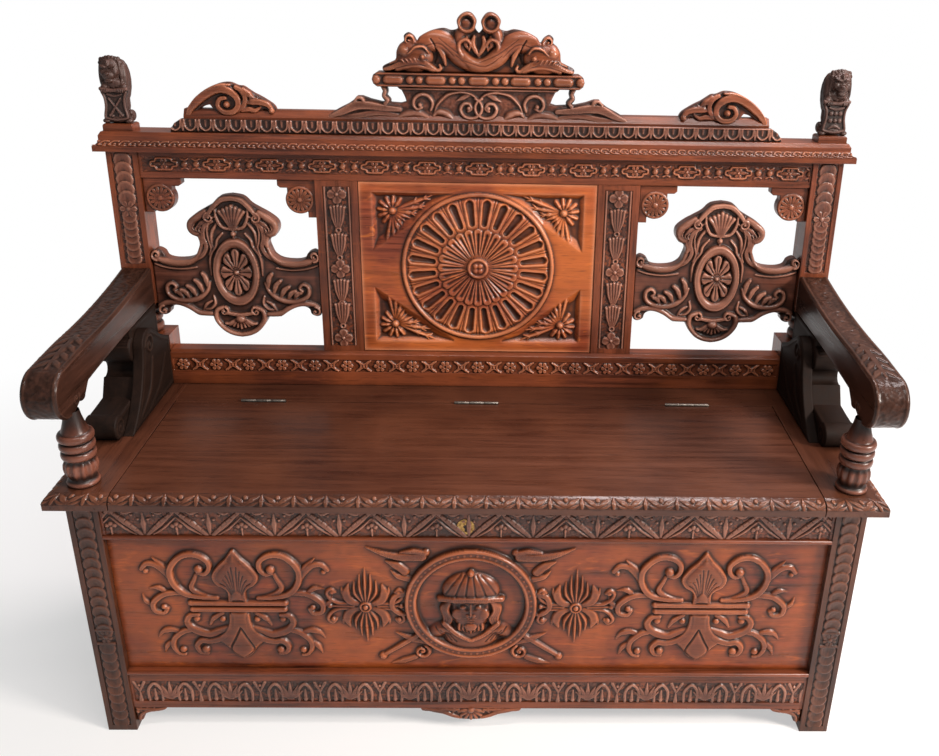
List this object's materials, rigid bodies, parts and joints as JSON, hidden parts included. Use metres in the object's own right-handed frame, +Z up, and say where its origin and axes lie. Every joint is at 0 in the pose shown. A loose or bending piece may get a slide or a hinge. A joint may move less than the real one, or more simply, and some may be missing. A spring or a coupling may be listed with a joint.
{
  "type": "settle bench",
  "caption": "Wide panelled box settle with a hinged seat lid over a storage chest, scrolled arms on turned supports and a tall carved open back.",
  "frame": {"origin": "on the floor, in the middle of the overall width and depth", "axes": "+X to the right of a person facing the bench, +Y from the front to the back, +Z up"},
  "size_m": [1.3162, 0.472, 1.1515],
  "materials": {
    "carved_oak": "dark reddish stain, waxed, worn lighter on the edges",
    "seat_oak": "dark stain, waxed and rubbed smooth",
    "plain_oak": "dark stain, dull",
    "brass": "aged, softly polished",
    "hinge_steel": "worn, slightly dull",
    "lock_iron": "dark, dull"
  },
  "bodies": {
    "bench": {"apron_pendant": "carved_oak", "arm_left": "carved_oak", "arm_right": "carved_oak", "back_bottom_rail": "carved_oak", "back_panel": "carved_oak", "back_post_left": "carved_oak", "back_post_right": "carved_oak", "back_top_rail": "carved_oak", "baluster_left": "carved_oak", "baluster_right": "carved_oak", "bottom_board": "plain_oak", "console_left": "carved_oak", "console_right": "carved_oak", "cornice": "carved_oak", "crest_board": "carved_oak", "crest_scroll_left": "carved_oak", "crest_scroll_right": "carved_oak", "crest_strip": "carved_oak", "dolphin_crest": "carved_oak", "escutcheon": "brass", "front_bottom_rail": "carved_oak", "front_leg_left": "carved_oak", "front_leg_right": "carved_oak", "front_panel": "carved_oak", "front_top_rail": "carved_oak", "hinge_pins": "hinge_steel", "hinge_seat_leaves": "hinge_steel", "leg_brackets": "carved_oak", "lion_finial_left": "carved_oak", "lion_finial_right": "carved_oak", "lock_case": "lock_iron", "muntin_left": "carved_oak", "muntin_right": "carved_oak", "pediment_body": "carved_oak", "pediment_moulding": "carved_oak", "rear_bottom_rail": "plain_oak", "rear_leg_left": "carved_oak", "rear_leg_right": "carved_oak", "rear_panel": "plain_oak", "rear_top_rail": "plain_oak", "seat_back_strip": "seat_oak", "seat_end_left": "seat_oak", "seat_end_right": "seat_oak", "side_bottom_rail_left": "carved_oak", "side_bottom_rail_right": "carved_oak", "side_panel_left": "carved_oak", "side_panel_right": "carved_oak", "side_top_rail_left": "carved_oak", "side_top_rail_right": "carved_oak", "spandrel_inner_left": "carved_oak", "spandrel_inner_right": "carved_oak", "spandrel_outer_left": "carved_oak", "spandrel_outer_right": "carved_oak", "splat_left": "carved_oak", "splat_right": "carved_oak"},
    "lid": {"lid": "seat_oak", "lid_battens": "plain_oak", "hinge_lid_leaves": "hinge_steel", "lock_link_plate": "lock_iron"},
    "bolt": {"lock_bolt": "lock_iron"}
  },
  "joints": [
    {"name": "lid_hinge", "type": "hinge", "parent": "bench", "child": "lid", "pos_m": [0, 0.08896, 0.481], "axis": [-1, 0, 0], "range_deg": [0, 105]},
    {"name": "lock_bolt_slide", "type": "slide", "parent": "bench", "child": "bolt", "axis": [1, 0, 0], "range_m": [0, 0.009]}
  ]
}
